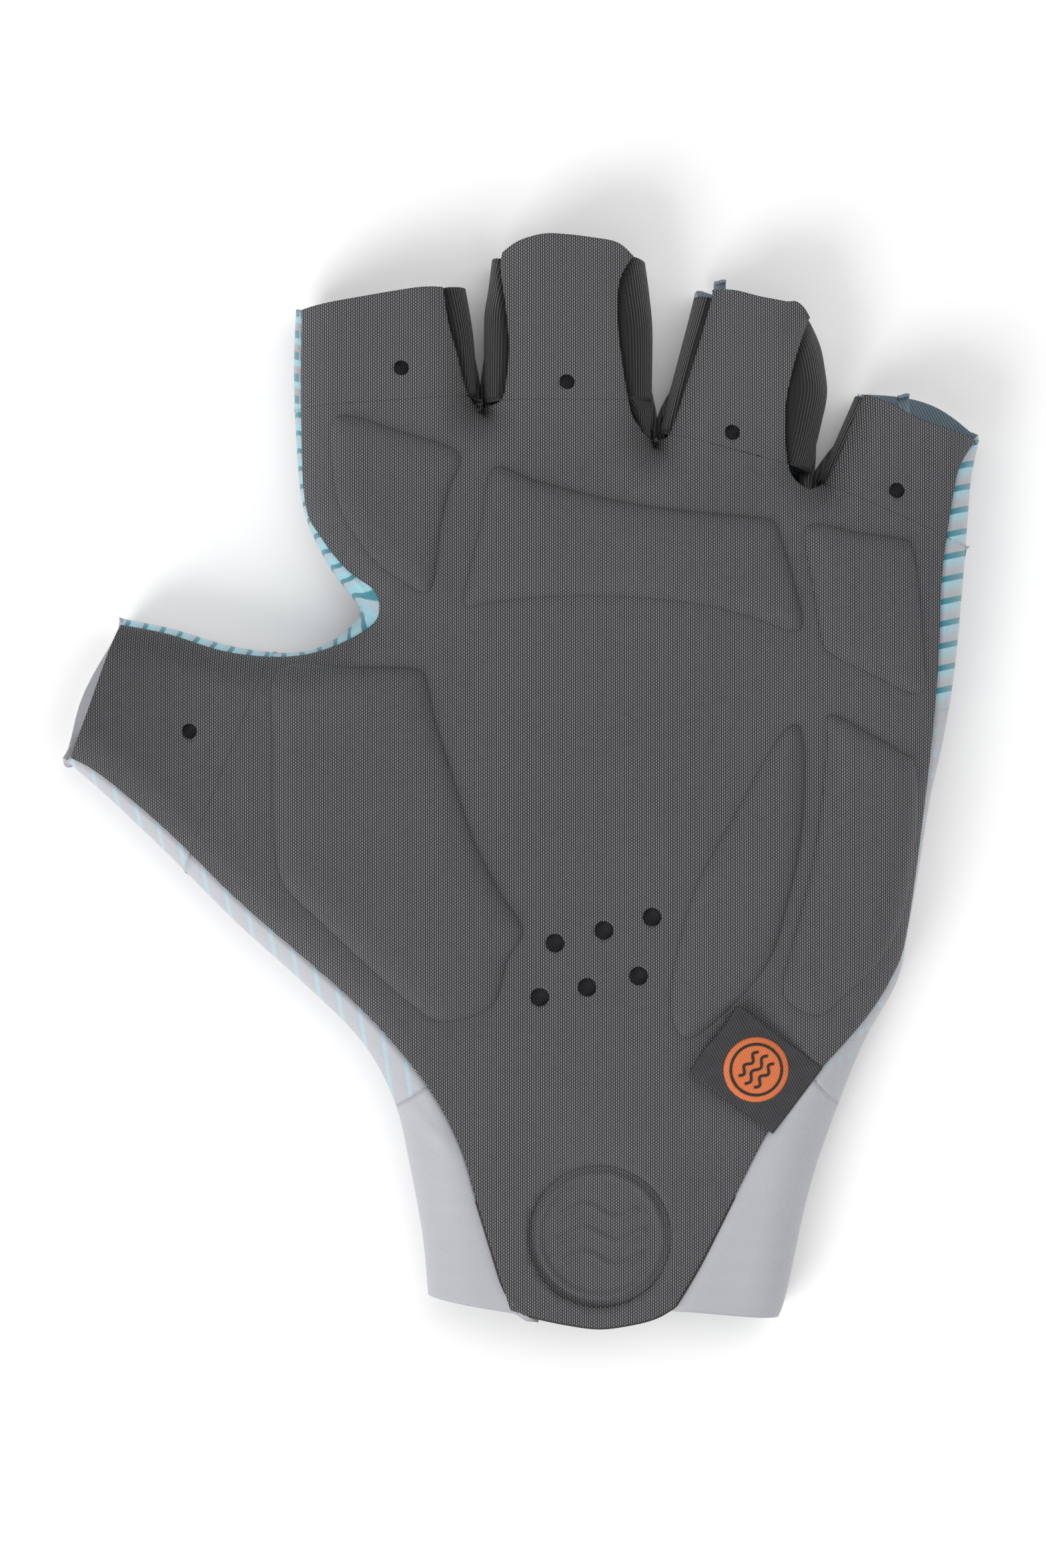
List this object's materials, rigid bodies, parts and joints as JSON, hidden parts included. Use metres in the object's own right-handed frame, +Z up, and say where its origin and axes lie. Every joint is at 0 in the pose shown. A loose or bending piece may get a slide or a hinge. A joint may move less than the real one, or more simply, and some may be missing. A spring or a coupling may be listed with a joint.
{
  "type": "fingerless sailing glove",
  "caption": "Slip-on left-hand glove with open fingertips, raised mesh grip pads and a stretch cuff, lying palm up.",
  "frame": {"origin": "centre of the bounding box in plan, on the face that the glove rests on", "axes": "+Y towards the fingers, -X towards the thumb, +Z up through the palm"},
  "size_m": [0.1382, 0.1652, 0.0154],
  "materials": {
    "palm_mesh": "warp-knit mesh, matt",
    "pad_mesh": "warp-knit mesh over foam",
    "lining": "plain tricot, dark",
    "badge": "mesh pressed flat",
    "bound_edge": "turned and bound",
    "rib_knit": "fine rib knit",
    "label_satin": "woven satin",
    "label_thread": "embroidery",
    "seam_tape": "woven tape",
    "gusset_knit": "printed stretch knit",
    "stretch_satin": "satin stretch knit, printed"
  },
  "bodies": {
    "hand": {"palm_panel": "palm_mesh", "palm_lining": "lining", "back_panel": "stretch_satin", "heel_side": "stretch_satin", "web_gusset": "gusset_knit", "outer_side": "stretch_satin", "stretch_cuff": "stretch_satin", "wrist_hem": "bound_edge", "wrist_badge": "badge", "thenar_pad": "pad_mesh", "index_base_pad": "pad_mesh", "knuckle_pad": "pad_mesh", "little_base_pad": "pad_mesh", "hypothenar_outer_pad": "pad_mesh", "hypothenar_inner_pad": "pad_mesh", "crotch_index_middle": "rib_knit", "crotch_middle_ring": "rib_knit", "crotch_ring_little": "rib_knit"},
    "thumb": {"thumb_front": "palm_mesh", "thumb_lining": "lining", "thumb_back": "stretch_satin", "thumb_upper_side": "gusset_knit", "thumb_lower_side": "stretch_satin"},
    "index": {"index_front": "palm_mesh", "index_lining": "lining", "index_back": "stretch_satin", "index_side": "stretch_satin", "index_fourchette": "rib_knit"},
    "middle": {"middle_front": "palm_mesh", "middle_lining": "lining", "middle_back": "stretch_satin", "middle_fourchette_inner": "rib_knit", "middle_fourchette_outer": "rib_knit"},
    "ring": {"ring_front": "palm_mesh", "ring_lining": "lining", "ring_back": "stretch_satin", "ring_fourchette_inner": "rib_knit", "ring_fourchette_outer": "rib_knit", "ring_seam_tag": "seam_tape"},
    "little": {"little_front": "palm_mesh", "little_lining": "lining", "little_back": "stretch_satin", "little_fourchette": "rib_knit", "little_side": "stretch_satin", "little_seam_tag": "seam_tape"},
    "label": {"label_tab": "label_satin", "label_emblem": "label_thread"}
  },
  "joints": [
    {"name": "thumb_fold", "type": "hinge", "parent": "hand", "child": "thumb", "pos_m": [-0.04575, 0.00005, 0.014], "axis": [0.3746, 0.9272, 0], "range_deg": [0, 60]},
    {"name": "index_fold", "type": "hinge", "parent": "hand", "child": "index", "pos_m": [-0.0218, 0.05735, 0.014], "axis": [0.9976, 0.0689, 0], "range_deg": [0, 80]},
    {"name": "middle_fold", "type": "hinge", "parent": "hand", "child": "middle", "pos_m": [0.0068, 0.0576, 0.014], "axis": [1, 0, 0], "range_deg": [0, 80]},
    {"name": "ring_fold", "type": "hinge", "parent": "hand", "child": "ring", "pos_m": [0.0319, 0.05, 0.014], "axis": [0.9666, -0.2561, 0], "range_deg": [0, 80]},
    {"name": "little_fold", "type": "hinge", "parent": "hand", "child": "little", "pos_m": [0.05705, 0.03995, 0.014], "axis": [0.914, -0.4058, 0], "range_deg": [0, 80]},
    {"name": "label_flip", "type": "hinge", "parent": "hand", "child": "label", "pos_m": [0.0411, -0.0474, 0.0143], "axis": [0.6018, 0.7986, 0], "range_deg": [0, 150]}
  ]
}
